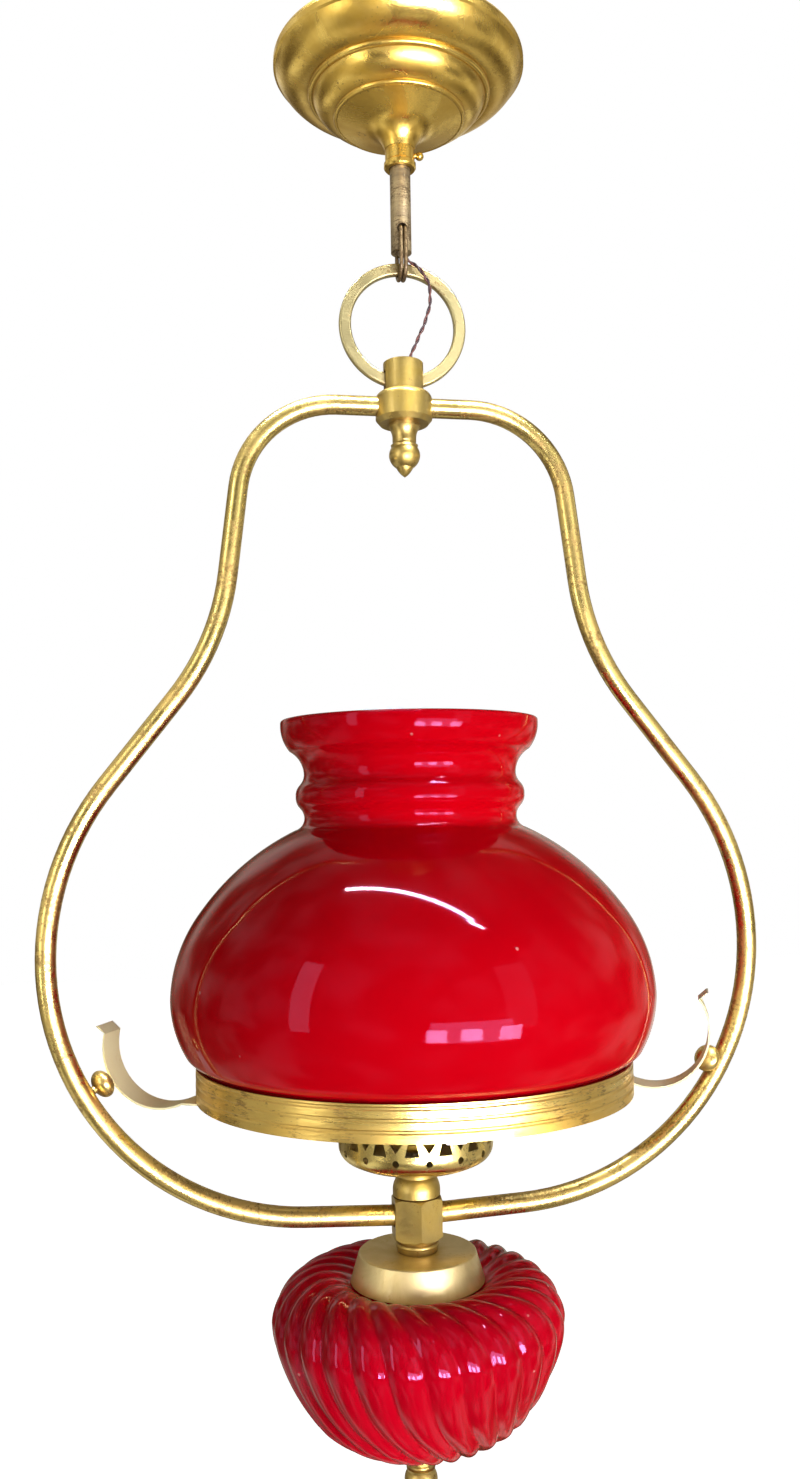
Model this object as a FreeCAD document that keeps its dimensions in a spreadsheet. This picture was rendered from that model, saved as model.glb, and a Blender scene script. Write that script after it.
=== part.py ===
"""A hanging harp lamp: ceiling canopy, hook link and ring, a bent-tube harp, a glass shade on a sprung
ring, and a ribbed glass font below. Millimetres, +Z up. The origin is on the ceiling face, on the lamp's
axis, so a "drop" is a distance below the ceiling. The harp lies in the XZ plane. Turned pieces have their
own Z as axis."""

import FreeCAD, Part
import math
import os
import Sketcher

SIZES = {
    # ceiling fixing
    "crossbar_half": 44,
    "crossbar_width": 16,
    "crossbar_thick": 2.5,
    "crossbar_fall": 12,
    "fixing_half_spacing": 35,
    "fixing_radius": 2.25,
    "stem_radius": 6.5,
    "stem_bore": 4.5,
    "stem_top": 3,
    "stem_bottom": 127.8,
    "link_hole_drop": 114.3,
    "link_hole_radius": 3.3,
    "nut_radius": 11,
    "nut_height": 4.5,
    # canopy
    "canopy_radius": 79,
    "canopy_rim_radius": 74,
    "canopy_dish": 23,
    "canopy_dish_drop": 46.8,
    "canopy_wall": 1.2,
    "canopy_step": 57.5,
    "canopy_step_drop": 24.5,
    "canopy_inner_step": 41.5,
    "canopy_inner_drop": 39.5,
    "canopy_neck": 9.5,
    "canopy_bottom": 61,
    "slide_radius": 6.9,
    "collar_radius": 9.3,
    "collar_height": 12.5,
    "set_screw_depth": 2.8,
    # link, ring and flex
    "wire_radius": 1.3,
    "strand_offset": 1.4,
    "link_half_width": 8.6,
    "link_corner": 3,
    "link_bottom": 144.4,
    "ring_radius": 40,
    "ring_inner": 32.5,
    "ring_half_thick": 2.5,
    "ring_edge": 1.5,
    "ring_drop": 175,
    "flex_radius": 1.2,
    # top hub
    "neck_radius": 12.5,
    "neck_bore": 8.5,
    "neck_top": 198.4,
    "slot_drop": 210.1,
    "slot_half_height": 6.1,
    "slot_half_width": 4,
    "hub_radius": 17.6,
    "hub_top": 217.5,
    "hub_height": 20,
    "hub_bore": 5,
    "finial_height": 33.4,
    # harp tubes
    "tube_radius": 6,
    "tube_bore": 4.6,
    "tube_start": 9,
    "harp_drop": 226.5,
    "top_run": 42,
    "corner_bend": 61,
    "corner_turn": 83,
    "upper_run": 53.5,
    "reverse_bend": 153,
    "reverse_turn": 31,
    "middle_run": 64,
    "belly_bend": 163,
    "belly_turn": 38,
    "lower_bend": 155,
    "lower_turn": 87.5,
    "lower_run": 53,
    "stud_angle": 30.7,
    "stud_skew": 28,
    "stud_reach": 13,
    "stud_radius": 2.4,
    "stud_head": 8.3,
    "stud_head_half": 5.5,
    # shade ring and its spring arms
    "shade_ring_radius": 129.5,
    "shade_ring_top": 623.8,
    "shade_ring_height": 19.4,
    "shade_ring_wall": 1.6,
    "ledge_radius": 117,
    "ledge_thick": 1.5,
    "arm_width": 20,
    "arm_half_thick": 0.6,
    "arm_foot": 12,
    "arm_centre": 19,
    "arm_bend": 34.5,
    "arm_start": 65.5,
    "arm_end_left": 13,
    "arm_end_right": 33,
    "arm_lip": 6.5,
    "arm_skew": 22,
    "rivet_radius": 2.2,
    # spider, gallery and lamp holder
    "spider_width": 10,
    "gallery_radius": 46.2,
    "gallery_wall": 1,
    "gallery_top": 652,
    "gallery_side": 23,
    "gallery_height": 37.2,
    "pierced_repeats": 15,
    "nipple_radius": 5,
    "nipple_bore": 3.4,
    "nipple_top": 674,
    "nipple_bottom": 711,
    "holder_radius": 19.5,
    "holder_top": 642,
    "holder_height": 36,
    "bulb_cap_radius": 13.1,
    "bulb_cap_top": 647,
    "bulb_cap_height": 20,
    "bulb_radius": 30,
    "bulb_height": 84,
    # lower hub and font
    "lower_hub_top": 689.3,
    "lower_hub_height": 48.5,
    "block_top": 706,
    "block_height": 24,
    "block_corner": 16.2,
    "block_bore": 6.8,
    "block_chamfer": 2.2,
    "cap_top": 737.9,
    "cap_height": 16.6,
    "cap_top_radius": 35,
    "cap_bottom_radius": 39.8,
    "cap_wall": 1,
    "glass_mouth": 745,
    "glass_mouth_radius": 33,
    "shoulder_start": 40.5,
    "shoulder_drop": 755.2,
    "shoulder_bend": 28.4,
    "font_radius": 86.5,
    "font_widest": 774.8,
    "font_hip": 85.1,
    "font_hip_drop": 784.8,
    "font_hip_bend": 45.7,
    "font_hip_slope": 15,
    "font_belly": 63.2,
    "font_belly_drop": 826.7,
    "font_belly_bend": 116.6,
    "font_belly_slope": 42.4,
    "font_foot": 29.6,
    "font_foot_drop": 843.7,
    "font_foot_bend": 61.7,
    "font_foot_slope": 81,
    "font_bottom": 844.5,
    "font_wall": 4.5,
    "rod_radius": 3,
    "rod_hole": 3.4,
    "rod_bottom": 868,
    "bottom_finial_height": 40,
    # shade glass
    "shade_top": 421.7,
    "shade_height": 219.7,
    "shade_wall": 4,
    "shade_mouth": 78.4,
    "shade_neck": 64.4,
    "shade_bulge": 69.4,
    "shade_radius": 144,
    "shade_base": 125.4,
}

document = FreeCAD.newDocument("HangingLamp")
sheet = document.addObject("Spreadsheet::Sheet", "Sizes")
for row, (alias, number) in enumerate(SIZES.items(), start=1):
    sheet.set(f"A{row}", alias)
    sheet.set(f"B{row}", str(number))
    sheet.setAlias(f"B{row}", alias)
document.recompute()


class Size:
    """A number and the sheet expression that gives it, kept together through arithmetic."""

    def __init__(self, value, text=None):
        self.value = float(value)
        self.text = text or f"({value})"

    def _joined(self, other, sign, value):
        return Size(value, f"({self.text} {sign} {sized(other).text})")

    def __add__(self, other):
        return self._joined(other, "+", self.value + sized(other).value)

    def __radd__(self, other):
        return sized(other) + self

    def __sub__(self, other):
        return self._joined(other, "-", self.value - sized(other).value)

    def __rsub__(self, other):
        return sized(other) - self

    def __mul__(self, other):
        return self._joined(other, "*", self.value * sized(other).value)

    def __rmul__(self, other):
        return sized(other) * self

    def __truediv__(self, other):
        return self._joined(other, "/", self.value / sized(other).value)

    def __neg__(self):
        return Size(-self.value, f"(-1 * {self.text})")


def sized(number):
    return number if isinstance(number, Size) else Size(number)


def sine(angle):
    return Size(math.sin(math.radians(angle.value)), f"sin({angle.text})")


def cosine(angle):
    return Size(math.cos(math.radians(angle.value)), f"cos({angle.text})")


size = {alias: Size(number, f"Sizes.{alias}") for alias, number in SIZES.items()}
nodes = {}


def keep(label, item, drop=0, across=0):
    """Registers a finished sub-part under its node name and hangs it at its drop below the ceiling."""
    item.Label = label
    place(item, across, 0, -1 * sized(drop))
    nodes[label] = item
    return item


def place(item, across, deep, up):
    for axis, distance in (("x", across), ("y", deep), ("z", up)):
        if isinstance(distance, Size):
            item.setExpression(f"Placement.Base.{axis}", distance.text)


def vector(corner):
    return FreeCAD.Vector(sized(corner[0]).value, sized(corner[1]).value, 0)


def plane_of(body, role):
    return next(item for item in body.Origin.OriginFeatures if item.Role == role)


def new_sketch(body, plane, offset=None):
    sketch = body.newObject("Sketcher::SketchObject", f"{body.Name}Sketch")
    sketch.AttachmentSupport = (plane_of(body, plane), [""])
    sketch.MapMode = "FlatFace"
    if offset is not None:
        sketch.setExpression("AttachmentOffset.Base.z", offset.text)
    return sketch


def fix(sketch, kind, geometry, point, distance):
    """Holds one coordinate of a sketch point, and binds it to the sheet when it depends on it."""
    distance = sized(distance)
    if abs(distance.value) < 1e-9:
        axis = -2 if kind == "DistanceX" else -1
        sketch.addConstraint(Sketcher.Constraint("PointOnObject", geometry, point, axis))
        return
    index = sketch.addConstraint(Sketcher.Constraint(kind, -1, 1, geometry, point, distance.value))
    bind(sketch, index, distance)


def bind(sketch, index, distance):
    if "Sizes." in distance.text:
        name = f"size_{index}"
        sketch.renameConstraint(index, name)
        sketch.setExpression(f"Constraints.{name}", distance.text)


def add_stretch(sketch, corner, following):
    """One line or arc of an outline. Returns its index and which of its ends it starts and stops with."""
    start, stop = vector(corner), vector(following)
    if len(following) == 2:
        return sketch.addGeometry(Part.LineSegment(start, stop), False), 1, 2
    bend = sized(following[2])
    chord = stop - start
    to_left = FreeCAD.Vector(-chord.y, chord.x, 0).normalize()
    rise = math.sqrt(max(bend.value**2 - (chord.Length / 2) ** 2, 0))
    centre = (start + stop) * 0.5 + to_left * math.copysign(rise, bend.value)
    circle = Part.Circle(centre, FreeCAD.Vector(0, 0, 1), abs(bend.value))
    turns_left = bend.value > 0
    first, last = (start, stop) if turns_left else (stop, start)
    angles = [math.atan2(point.y - centre.y, point.x - centre.x) for point in (first, last)]
    index = sketch.addGeometry(Part.ArcOfCircle(circle, *angles), False)
    radius = bend if turns_left else -bend
    bind(sketch, sketch.addConstraint(Sketcher.Constraint("Radius", index, radius.value)), radius)
    return (index, 1, 2) if turns_left else (index, 2, 1)


def draw(sketch, corners, closed=True):
    """Draws an outline. A corner is (across, up), or (across, up, bend) where an arc leads to it: the bend is
    its radius, positive where the outline turns left on its way and negative where it turns right."""
    following = corners[1:] + corners[:1] if closed else corners[1:]
    stretches = [add_stretch(sketch, a, b) for a, b in zip(corners, following)]
    for (index, start, _), corner in zip(stretches, corners):
        fix(sketch, "DistanceX", index, start, corner[0])
        fix(sketch, "DistanceY", index, start, corner[1])
    if not closed:
        index, _, stop = stretches[-1]
        fix(sketch, "DistanceX", index, stop, corners[-1][0])
        fix(sketch, "DistanceY", index, stop, corners[-1][1])
    pairs = zip(stretches, stretches[1:] + stretches[:1] if closed else stretches[1:])
    for (index, _, stop), (next_index, next_start, _) in pairs:
        sketch.addConstraint(Sketcher.Constraint("Coincident", index, stop, next_index, next_start))
    return sketch


def circle_in(sketch, across, up, radius):
    centre, radius = vector((across, up)), sized(radius)
    index = sketch.addGeometry(Part.Circle(centre, FreeCAD.Vector(0, 0, 1), radius.value), False)
    fix(sketch, "DistanceX", index, 3, across)
    fix(sketch, "DistanceY", index, 3, up)
    bind(sketch, sketch.addConstraint(Sketcher.Constraint("Radius", index, radius.value)), radius)


def back_along(corners, inwards, upwards):
    """The same line moved sideways and walked the other way, for the inside of a thin shell."""
    moved = [(corner[0] - inwards, corner[1] + upwards) for corner in corners]
    back = [moved[-1]]
    for place_before, corner in zip(moved[-2::-1], corners[:0:-1]):
        back.append(place_before + (-sized(corner[2]),) if len(corner) == 3 else place_before)
    return back


def new_body(label):
    return document.addObject("PartDesign::Body", label)


def revolve(body, corners):
    feature = body.newObject("PartDesign::Revolution", f"{body.Name}Turned")
    sketch = draw(new_sketch(body, "XZ_Plane"), corners)
    feature.Profile = sketch
    feature.ReferenceAxis = (sketch, ["V_Axis"])
    feature.Angle = 360
    return feature


def turned(label, drop, corners):
    """A piece turned about its own Z axis from an outline of (radius, height) corners."""
    body = new_body(label)
    revolve(body, corners)
    return keep(label, body, drop)


def pad(body, plane, corners, width):
    """A flat outline padded evenly to both sides of its plane."""
    feature = body.newObject("PartDesign::Pad", f"{body.Name}Pad")
    feature.Profile = draw(new_sketch(body, plane), corners)
    feature.Midplane = True
    feature.setExpression("Length", sized(width).text)
    return feature


def cut_through(body, plane, drawing, both_sides=True, reverse=False, turn=0):
    """Cuts a drawing right through the body. The drawing is a function that fills a sketch, and the turn is
    in degrees about the sketch's own upright axis."""
    document.recompute()
    before = body.Shape.Volume
    pocket = body.newObject("PartDesign::Pocket", f"{body.Name}Cut")
    sketch = new_sketch(body, plane)
    about_upright = FreeCAD.Rotation(FreeCAD.Vector(0, 1, 0), turn)
    sketch.AttachmentOffset = FreeCAD.Placement(FreeCAD.Vector(), about_upright)
    drawing(sketch)
    pocket.Profile = sketch
    pocket.Type = "ThroughAll"
    pocket.Midplane = both_sides
    pocket.Reversed = reverse
    document.recompute()
    if body.Shape.Volume >= before:
        raise ValueError(f"{body.Label}: the cut removes nothing")
    return pocket


def bore(body, plane, across, up, radius, both_sides=True, reverse=False):
    return cut_through(body, plane, lambda sketch: circle_in(sketch, across, up, radius), both_sides, reverse)


def patterned(body, features, count):
    pattern = body.newObject("PartDesign::PolarPattern", f"{body.Name}Pattern")
    pattern.Originals = features
    pattern.Axis = (plane_of(body, "Z_Axis"), [""])
    pattern.Angle = 360
    pattern.setExpression("Occurrences", sized(count).text)
    body.Tip = pattern
    return pattern


def pipe(body, plane, corners, closed, profile_plane, offset, radii):
    """A round bar or tube along a path of lines and arcs. The first radius is the outside, the second the
    bore."""
    path = draw(new_sketch(body, plane), corners, closed)
    profile = new_sketch(body, profile_plane, offset)
    centre_up = corners[0][1]
    for radius in radii:
        circle_in(profile, 0, centre_up, radius)
    feature = body.newObject("PartDesign::AdditivePipe", f"{body.Name}Pipe")
    feature.Profile = profile
    feature.Spine = path
    return body


def solid(kind, name, **lengths):
    """A Part primitive with its lengths bound to the sheet."""
    item = document.addObject(f"Part::{kind}", name)
    for key, length in lengths.items():
        item.setExpression(key, sized(length).text)
    return item


def grouped(label, items):
    """Identical fasteners in one node, as separate solids."""
    group = document.addObject("Part::Compound", label)
    group.Links = items
    return keep(label, group)


def annulus(outer, inner, height):
    return [(inner, 0), (outer, 0), (outer, -height), (inner, -height)]


# ---- ceiling fixing -------------------------------------------------------------------------------------

def make_crossbar():
    half, fall, thick = size["crossbar_half"], size["crossbar_fall"], size["crossbar_thick"]
    knee, heel = 0.62 * half, 0.45 * half
    top = [(-half, 0), (-knee, 0), (-heel, thick - fall), (heel, thick - fall), (knee, 0), (half, 0)]
    under = [(half, -thick), (knee - 1, -thick), (heel - 1, -fall)]
    under += [(1 - heel, -fall), (1 - knee, -thick), (-half, -thick)]
    body = new_body("crossbar")
    pad(body, "XZ_Plane", top[::-1] + under[::-1], size["crossbar_width"])
    bore(body, "XY_Plane", 0, 0, size["stem_radius"] + 0.1)
    for side in (-1, 1):
        bore(body, "XY_Plane", side * size["fixing_half_spacing"], 0, size["fixing_radius"])
    keep("crossbar", body)


def make_stem():
    body = turned("stem_tube", size["stem_top"],
                  annulus(size["stem_radius"], size["stem_bore"], size["stem_bottom"] - size["stem_top"]))
    bore(body, "XZ_Plane", 0, size["stem_top"] - size["link_hole_drop"], size["link_hole_radius"])


def make_nuts(label, drops, corner_radius, height, bore_radius):
    nuts = []
    for number, drop in enumerate(drops):
        blank = solid("Prism", f"{label}Blank{number}", Circumradius=corner_radius, Height=height)
        blank.Polygon = 6
        hole = solid("Cylinder", f"{label}Bore{number}", Radius=bore_radius, Height=height)
        for item in (blank, hole):
            place(item, 0, 0, -1 * sized(drop))
        nut = document.addObject("Part::Cut", f"{label}Nut{number}")
        nut.Base, nut.Tool = blank, hole
        nuts.append(nut)
    grouped(label, nuts)


def make_canopy():
    outer = [
        (size["canopy_rim_radius"], 0),
        (size["canopy_radius"], -6, -7),
        (size["canopy_radius"], -9.5),
        (size["canopy_radius"] - 1.4, -10.5),
        (size["canopy_step"], -size["canopy_step_drop"], -24),
        (size["canopy_step"] - 3, -3 - size["canopy_step_drop"], -2.4),
        (size["canopy_inner_step"], -size["canopy_inner_drop"], -18),
        (size["canopy_inner_step"] - 2.5, -2.5 - size["canopy_inner_drop"], -2),
        (size["canopy_dish"], -size["canopy_dish_drop"]),
        (size["canopy_neck"] + 1, 3 - size["canopy_bottom"], 18),
    ]
    neck = [
        (size["canopy_neck"], -size["canopy_bottom"]),
        (size["slide_radius"], -size["canopy_bottom"]),
        (size["slide_radius"], 3 - size["canopy_bottom"]),
    ]
    wall = size["canopy_wall"]
    inner = back_along(outer[1:], wall, wall) + [(size["canopy_rim_radius"] - wall, 0)]
    turned("canopy_shell", 0, outer + neck + inner)


def make_collar():
    radius, height, hole = size["collar_radius"], size["collar_height"], size["slide_radius"]
    corners = [(hole, 0), (radius, 0), (radius, 4.5 - height), (radius + 0.8, 3.5 - height)]
    corners += [(radius + 0.8, 1 - height), (radius, -height), (hole, -height)]
    body = turned("canopy_collar", size["canopy_bottom"] + 0.1, corners)
    depth, reach = size["set_screw_depth"], radius + 2
    screw_drop = size["canopy_bottom"] + 0.1 + depth
    bore(body, "YZ_Plane", 0, -depth, 1.6, both_sides=False, reverse=True)
    screw = turned("canopy_set_screw", screw_drop, [
        (0, 0.05), (1.5, 0.05), (1.5, reach - 7.5), (2.6, reach - 5.2, 2.6), (0, reach - 2.6, 2.6),
    ])
    screw.Placement.Rotation = FreeCAD.Rotation(FreeCAD.Vector(0, 1, 0), 90)
    place(screw, size["stem_radius"] + 0.1, 0, -screw_drop)


# ---- link and ring --------------------------------------------------------------------------------------

def make_link():
    """Two strands side by side: a straight bar through the stem, two legs, and a round bend below."""
    half, corner = size["link_half_width"], size["link_corner"]
    top, bottom = -size["link_hole_drop"], -size["link_bottom"]
    path = [
        (0, top), (half - corner, top), (half, top - corner, -corner), (half, bottom + half),
        (0, bottom, -half), (-half, bottom + half, -half), (-half, top - corner),
        (corner - half, top, -corner),
    ]
    strands = []
    for side in (-1, 1):
        strand = new_body(f"LinkStrand{side + 2}")
        pipe(strand, "YZ_Plane", path, True, "XZ_Plane", None, [size["wire_radius"]])
        place(strand, side * size["strand_offset"], 0, 0)
        strands.append(strand)
    grouped("hook_link", strands)


def make_ring():
    outer, inner = size["ring_radius"], size["ring_inner"]
    half, edge = size["ring_half_thick"], size["ring_edge"]
    corners = [
        (inner, edge - half), (inner + edge, -half, edge), (outer - edge, -half),
        (outer, edge - half, edge), (outer, half - edge), (outer - edge, half, edge),
        (inner + edge, half), (inner, half - edge, edge),
    ]
    ring = turned("hanging_ring", 0, corners)
    ring.Placement.Rotation = FreeCAD.Rotation(FreeCAD.Vector(1, 0, 0), 90)
    place(ring, 0, 0, -size["ring_drop"])


# The twin flex leaves the stem's mouth, passes over the front of the ring, and drops into the harp's neck.
FLEX_ROUTE = [
    (1.5, -1.5, -130.4), (4.2, -3.4, -134.0), (8.6, -5.6, -138.0), (13.2, -6.2, -143.0), (16.6, -5.2, -149.2),
    (17.6, -3.4, -156.6), (16.6, -1.6, -164.4), (14.0, -0.4, -172.4), (10.6, 0.2, -180.4), (7.0, 0.2, -188.2),
    (4.2, 0, -195.6), (3.0, 0, -203.0),
]


def rounded_route(points):
    """Straight runs joined by tangent arcs, each as large as its two runs allow."""
    points = [FreeCAD.Vector(*point) for point in points]
    edges, start, radii = [], points[0], []
    for before, corner, after in zip(points, points[1:], points[2:]):
        arriving, leaving = (corner - before), (after - corner)
        turn = arriving.getAngle(leaving)
        cut_back = 0.45 * min(arriving.Length, leaving.Length)
        radii.append(cut_back / math.tan(turn / 2))
        arriving.normalize()
        leaving.normalize()
        enter, leave = corner - arriving * cut_back, corner + leaving * cut_back
        sideways = (leaving - arriving).normalize()
        centre = corner + sideways * math.hypot(radii[-1], cut_back)
        middle = centre - sideways * radii[-1]
        edges += [Part.LineSegment(start, enter).toShape(), Part.Arc(enter, middle, leave).toShape()]
        start = leave
    edges.append(Part.LineSegment(start, points[-1]).toShape())
    return Part.Wire(edges), radii


def make_flex():
    radius = float(sheet.get("flex_radius"))
    wire, radii = rounded_route(FLEX_ROUTE)
    start, tangent = FreeCAD.Vector(*FLEX_ROUTE[0]), wire.Edges[0].tangentAt(0)
    section = Part.Wire(Part.Circle(start, tangent, radius).toShape())
    item = document.addObject("Part::Feature", "twin_flex")
    item.Shape = wire.makePipeShell([section], True, False)
    item.Placement = FreeCAD.Placement()
    expected = math.pi * radius**2 * wire.Length
    print(f"flex length {wire.Length:.1f}, volume ratio {item.Shape.Volume / expected:.3f}")
    print("flex radii " + ", ".join(f"{bend:.0f}" for bend in radii))
    keep("twin_flex", item)


# ---- harp -----------------------------------------------------------------------------------------------

def make_top_hub():
    neck = turned("ring_collar", size["neck_top"],
                  [(size["neck_bore"], 0), (size["neck_radius"] - 0.6, 0), (size["neck_radius"], -0.6),
                   (size["neck_radius"], size["neck_top"] - size["hub_top"]),
                   (size["neck_bore"], size["neck_top"] - size["hub_top"])])
    middle = size["neck_top"] - size["slot_drop"]
    tall, wide, turn = size["slot_half_height"], size["slot_half_width"], 1.5
    slot = [
        (-wide, turn + middle - tall), (turn - wide, middle - tall, turn), (wide - turn, middle - tall),
        (wide, turn + middle - tall, turn), (wide, middle + tall - turn), (wide - turn, middle + tall, turn),
        (turn - wide, middle + tall), (-wide, middle + tall - turn, turn),
    ]
    cut_through(neck, "YZ_Plane", lambda sketch: draw(sketch, slot))
    radius, height, hole = size["hub_radius"], size["hub_height"], size["hub_bore"]
    hub = turned("top_hub", size["hub_top"], [
        (hole, 0), (radius - 4, 0), (radius, -4, -5), (radius, 3 - height), (radius - 2.5, -height),
        (hole, -height),
    ])
    bore(hub, "YZ_Plane", 0, size["hub_top"] - size["harp_drop"], size["tube_radius"] + 0.05)


def drop_profile(height, shank, reach):
    """A turned drop: a shank that goes up into its seat, a waist, a bead, and an acorn with a soft point."""
    return [
        (0, reach), (shank, reach), (shank, 0), (9.6, 0), (9.6, -2), (7.4, -0.28 * height, 12),
        (7.4, -0.33 * height), (8.5, -0.4 * height, 1.6), (8.1, -0.44 * height),
        (9.7, -0.6 * height, -9), (5.2, -0.82 * height, -10), (0, -height, -14),
    ]


def harp_path(side):
    """The tube's centre line from the top hub down to the lower hub, walked run by run and bend by bend."""
    across, up = size["tube_start"], -size["harp_drop"]
    corners = [(side * across, up)]
    across = size["top_run"]
    corners.append((side * across, up))
    heading = sized(0)
    steps = [
        (-size["corner_turn"], size["corner_bend"], size["upper_run"]),
        (size["reverse_turn"], size["reverse_bend"], size["middle_run"]),
        (-size["belly_turn"], size["belly_bend"], None),
        (-size["lower_turn"], size["lower_bend"], size["lower_run"]),
    ]
    for turn, bend, run in steps:
        way = math.copysign(1, turn.value)
        across = across + way * bend * (sine(heading + turn) - sine(heading))
        up = up - way * bend * (cosine(heading + turn) - cosine(heading))
        heading = heading + turn
        corners.append((side * across, up, side * way * bend))
        if run is not None:
            across = across + run * cosine(heading)
            up = up + run * sine(heading)
            corners.append((side * across, up))
    return corners


def make_harp_tubes():
    for side, label in ((-1, "harp_tube_left"), (1, "harp_tube_right")):
        body = new_body(label)
        pipe(body, "XZ_Plane", harp_path(side), False, "YZ_Plane", side * size["tube_start"],
             [size["tube_radius"], size["tube_bore"]])
        keep(label, body)
    flex = new_body("harp_wire")
    pipe(flex, "XZ_Plane", harp_path(1), False, "YZ_Plane", 1 * size["tube_start"], [size["flex_radius"]])
    keep("harp_wire", flex)


def bend_centre(side):
    """The centre of the harp's lowest large bend."""
    corners = harp_path(side)
    start = vector(corners[-3])
    return FreeCAD.Vector(start.x - side * SIZES["lower_bend"], 0, start.y)


def make_studs():
    """Ball-headed studs on the inner side of the tubes, each turned towards its spring arm."""
    studs = []
    slope, skew = math.radians(SIZES["stud_angle"]), math.radians(SIZES["stud_skew"])
    for side in (-1, 1):
        outwards = FreeCAD.Vector(side * math.cos(slope), 0, -math.sin(slope))
        foot = bend_centre(side) + outwards * SIZES["lower_bend"]
        points = outwards * -math.cos(skew) + FreeCAD.Vector(0, -side * math.sin(skew), 0)
        shank = solid("Cylinder", f"StudShank{side + 2}", Radius=size["stud_radius"],
                      Height=size["stud_reach"] - size["tube_radius"])
        head = solid("Ellipsoid", f"StudHead{side + 2}", Radius1=size["stud_head_half"],
                     Radius2=size["stud_head"], Radius3=size["stud_head"])
        turn = FreeCAD.Rotation(FreeCAD.Vector(0, 0, 1), points)
        shank.Placement = FreeCAD.Placement(foot + points * SIZES["tube_radius"], turn)
        head.Placement = FreeCAD.Placement(foot + points * SIZES["stud_reach"], turn)
        stud = document.addObject("Part::Fuse", f"Stud{side + 2}")
        stud.Base, stud.Tool = shank, head
        studs.append(stud)
    grouped("arm_studs", studs)


# ---- shade ring, spring arms, spider --------------------------------------------------------------------

def make_shade_ring():
    radius, height = size["shade_ring_radius"], size["shade_ring_height"]
    wall, ledge, thick = size["shade_ring_wall"], size["ledge_radius"], size["ledge_thick"]
    corners = [(radius - wall, 0), (radius, 0)]
    ribs = 3
    pitch = (height - 2) / ribs
    for rib in range(ribs):
        start = 1 + rib * pitch
        corners += [(radius, -start), (radius - 0.5, -0.8 - start)]
        corners += [(radius - 0.5, -1.6 - start), (radius, -2.4 - start)]
    corners += [(radius, -height), (ledge, -height), (ledge, thick - height), (radius - wall, thick - height)]
    turned("shade_ring", size["shade_ring_top"], corners)


def arm_drop():
    return size["shade_ring_top"] + size["shade_ring_height"] + size["arm_half_thick"] + 0.1


def arm_corners(end):
    """A foot under the shade ring, a bow as far as the end angle, and a small lip turned out at the top."""
    half, foot, bend = size["arm_half_thick"], size["arm_foot"], size["arm_bend"]
    centre_across, centre_up = size["arm_centre"], bend * sine(size["arm_start"])
    start = size["arm_start"]

    def on_bow(radius, angle, way):
        return (centre_across + way * radius * cosine(angle), centre_up - way * radius * sine(angle))

    outer, inner = bend + half, bend - half
    outer_start = (centre_across - outer * cosine(start), centre_up - outer * sine(start))
    inner_start = (centre_across - inner * cosine(start), centre_up - inner * sine(start))
    outer_end = (centre_across + outer * cosine(end), centre_up + outer * sine(end))
    inner_end = (centre_across + inner * cosine(end), centre_up + inner * sine(end))
    lip = size["arm_lip"]
    return [
        (-foot, -half), (outer_start[0], -half), outer_start, outer_end + (outer,),
        (outer_end[0] + 0.8 * lip, outer_end[1] + 0.6 * lip),
        (inner_end[0] + 0.8 * lip, inner_end[1] + 0.6 * lip + half),
        inner_end, inner_start + (-inner,), (inner_start[0], half), (-foot, half),
    ]


def make_arms():
    for side, label, end in ((-1, "ring_arm_left", "arm_end_left"), (1, "ring_arm_right", "arm_end_right")):
        body = new_body(label)
        pad(body, "XZ_Plane", arm_corners(size[end]), size["arm_width"])
        yaw = (0 if side > 0 else 180) - SIZES["arm_skew"]
        body.Placement.Rotation = FreeCAD.Rotation(FreeCAD.Vector(0, 0, 1), yaw)
        keep(label, body, arm_drop(), side * size["shade_ring_radius"])
    rivets = []
    for side in (-1, 1):
        head = solid("Ellipsoid", f"RivetHead{side + 2}", Radius1=1.4, Radius2=size["rivet_radius"],
                     Radius3=size["rivet_radius"])
        head.Angle1 = -90
        head.Angle2 = 0
        place(head, side * (size["shade_ring_radius"] - size["arm_foot"] / 2), 0,
              -1 * (arm_drop() + size["arm_half_thick"]))
        rivets.append(head)
    grouped("arm_rivets", rivets)


def make_spider():
    """A flat rim on the gallery with three bent arms that carry the shade ring."""
    body = new_body("ring_spider")
    revolve(body, [(30, 0), (size["gallery_radius"] + 1, 0), (size["gallery_radius"] + 1, 2), (30, 2)])
    rise = size["gallery_top"] - size["shade_ring_top"] - size["shade_ring_height"]
    reach = size["ledge_radius"] + 7
    arm = pad(body, "XZ_Plane", [
        (40, 0), (60, 0), (reach - 16, rise - 2.1), (reach, rise - 2.1), (reach, rise - 0.1),
        (reach - 16.6, rise - 0.1), (59.4, 2), (40, 2),
    ], size["spider_width"])
    spread = patterned(body, [arm], 3)
    spread.Reversed = False
    keep("ring_spider", body, size["gallery_top"])
    body.Placement.Rotation = FreeCAD.Rotation(FreeCAD.Vector(0, 0, 1), 30)


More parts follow.
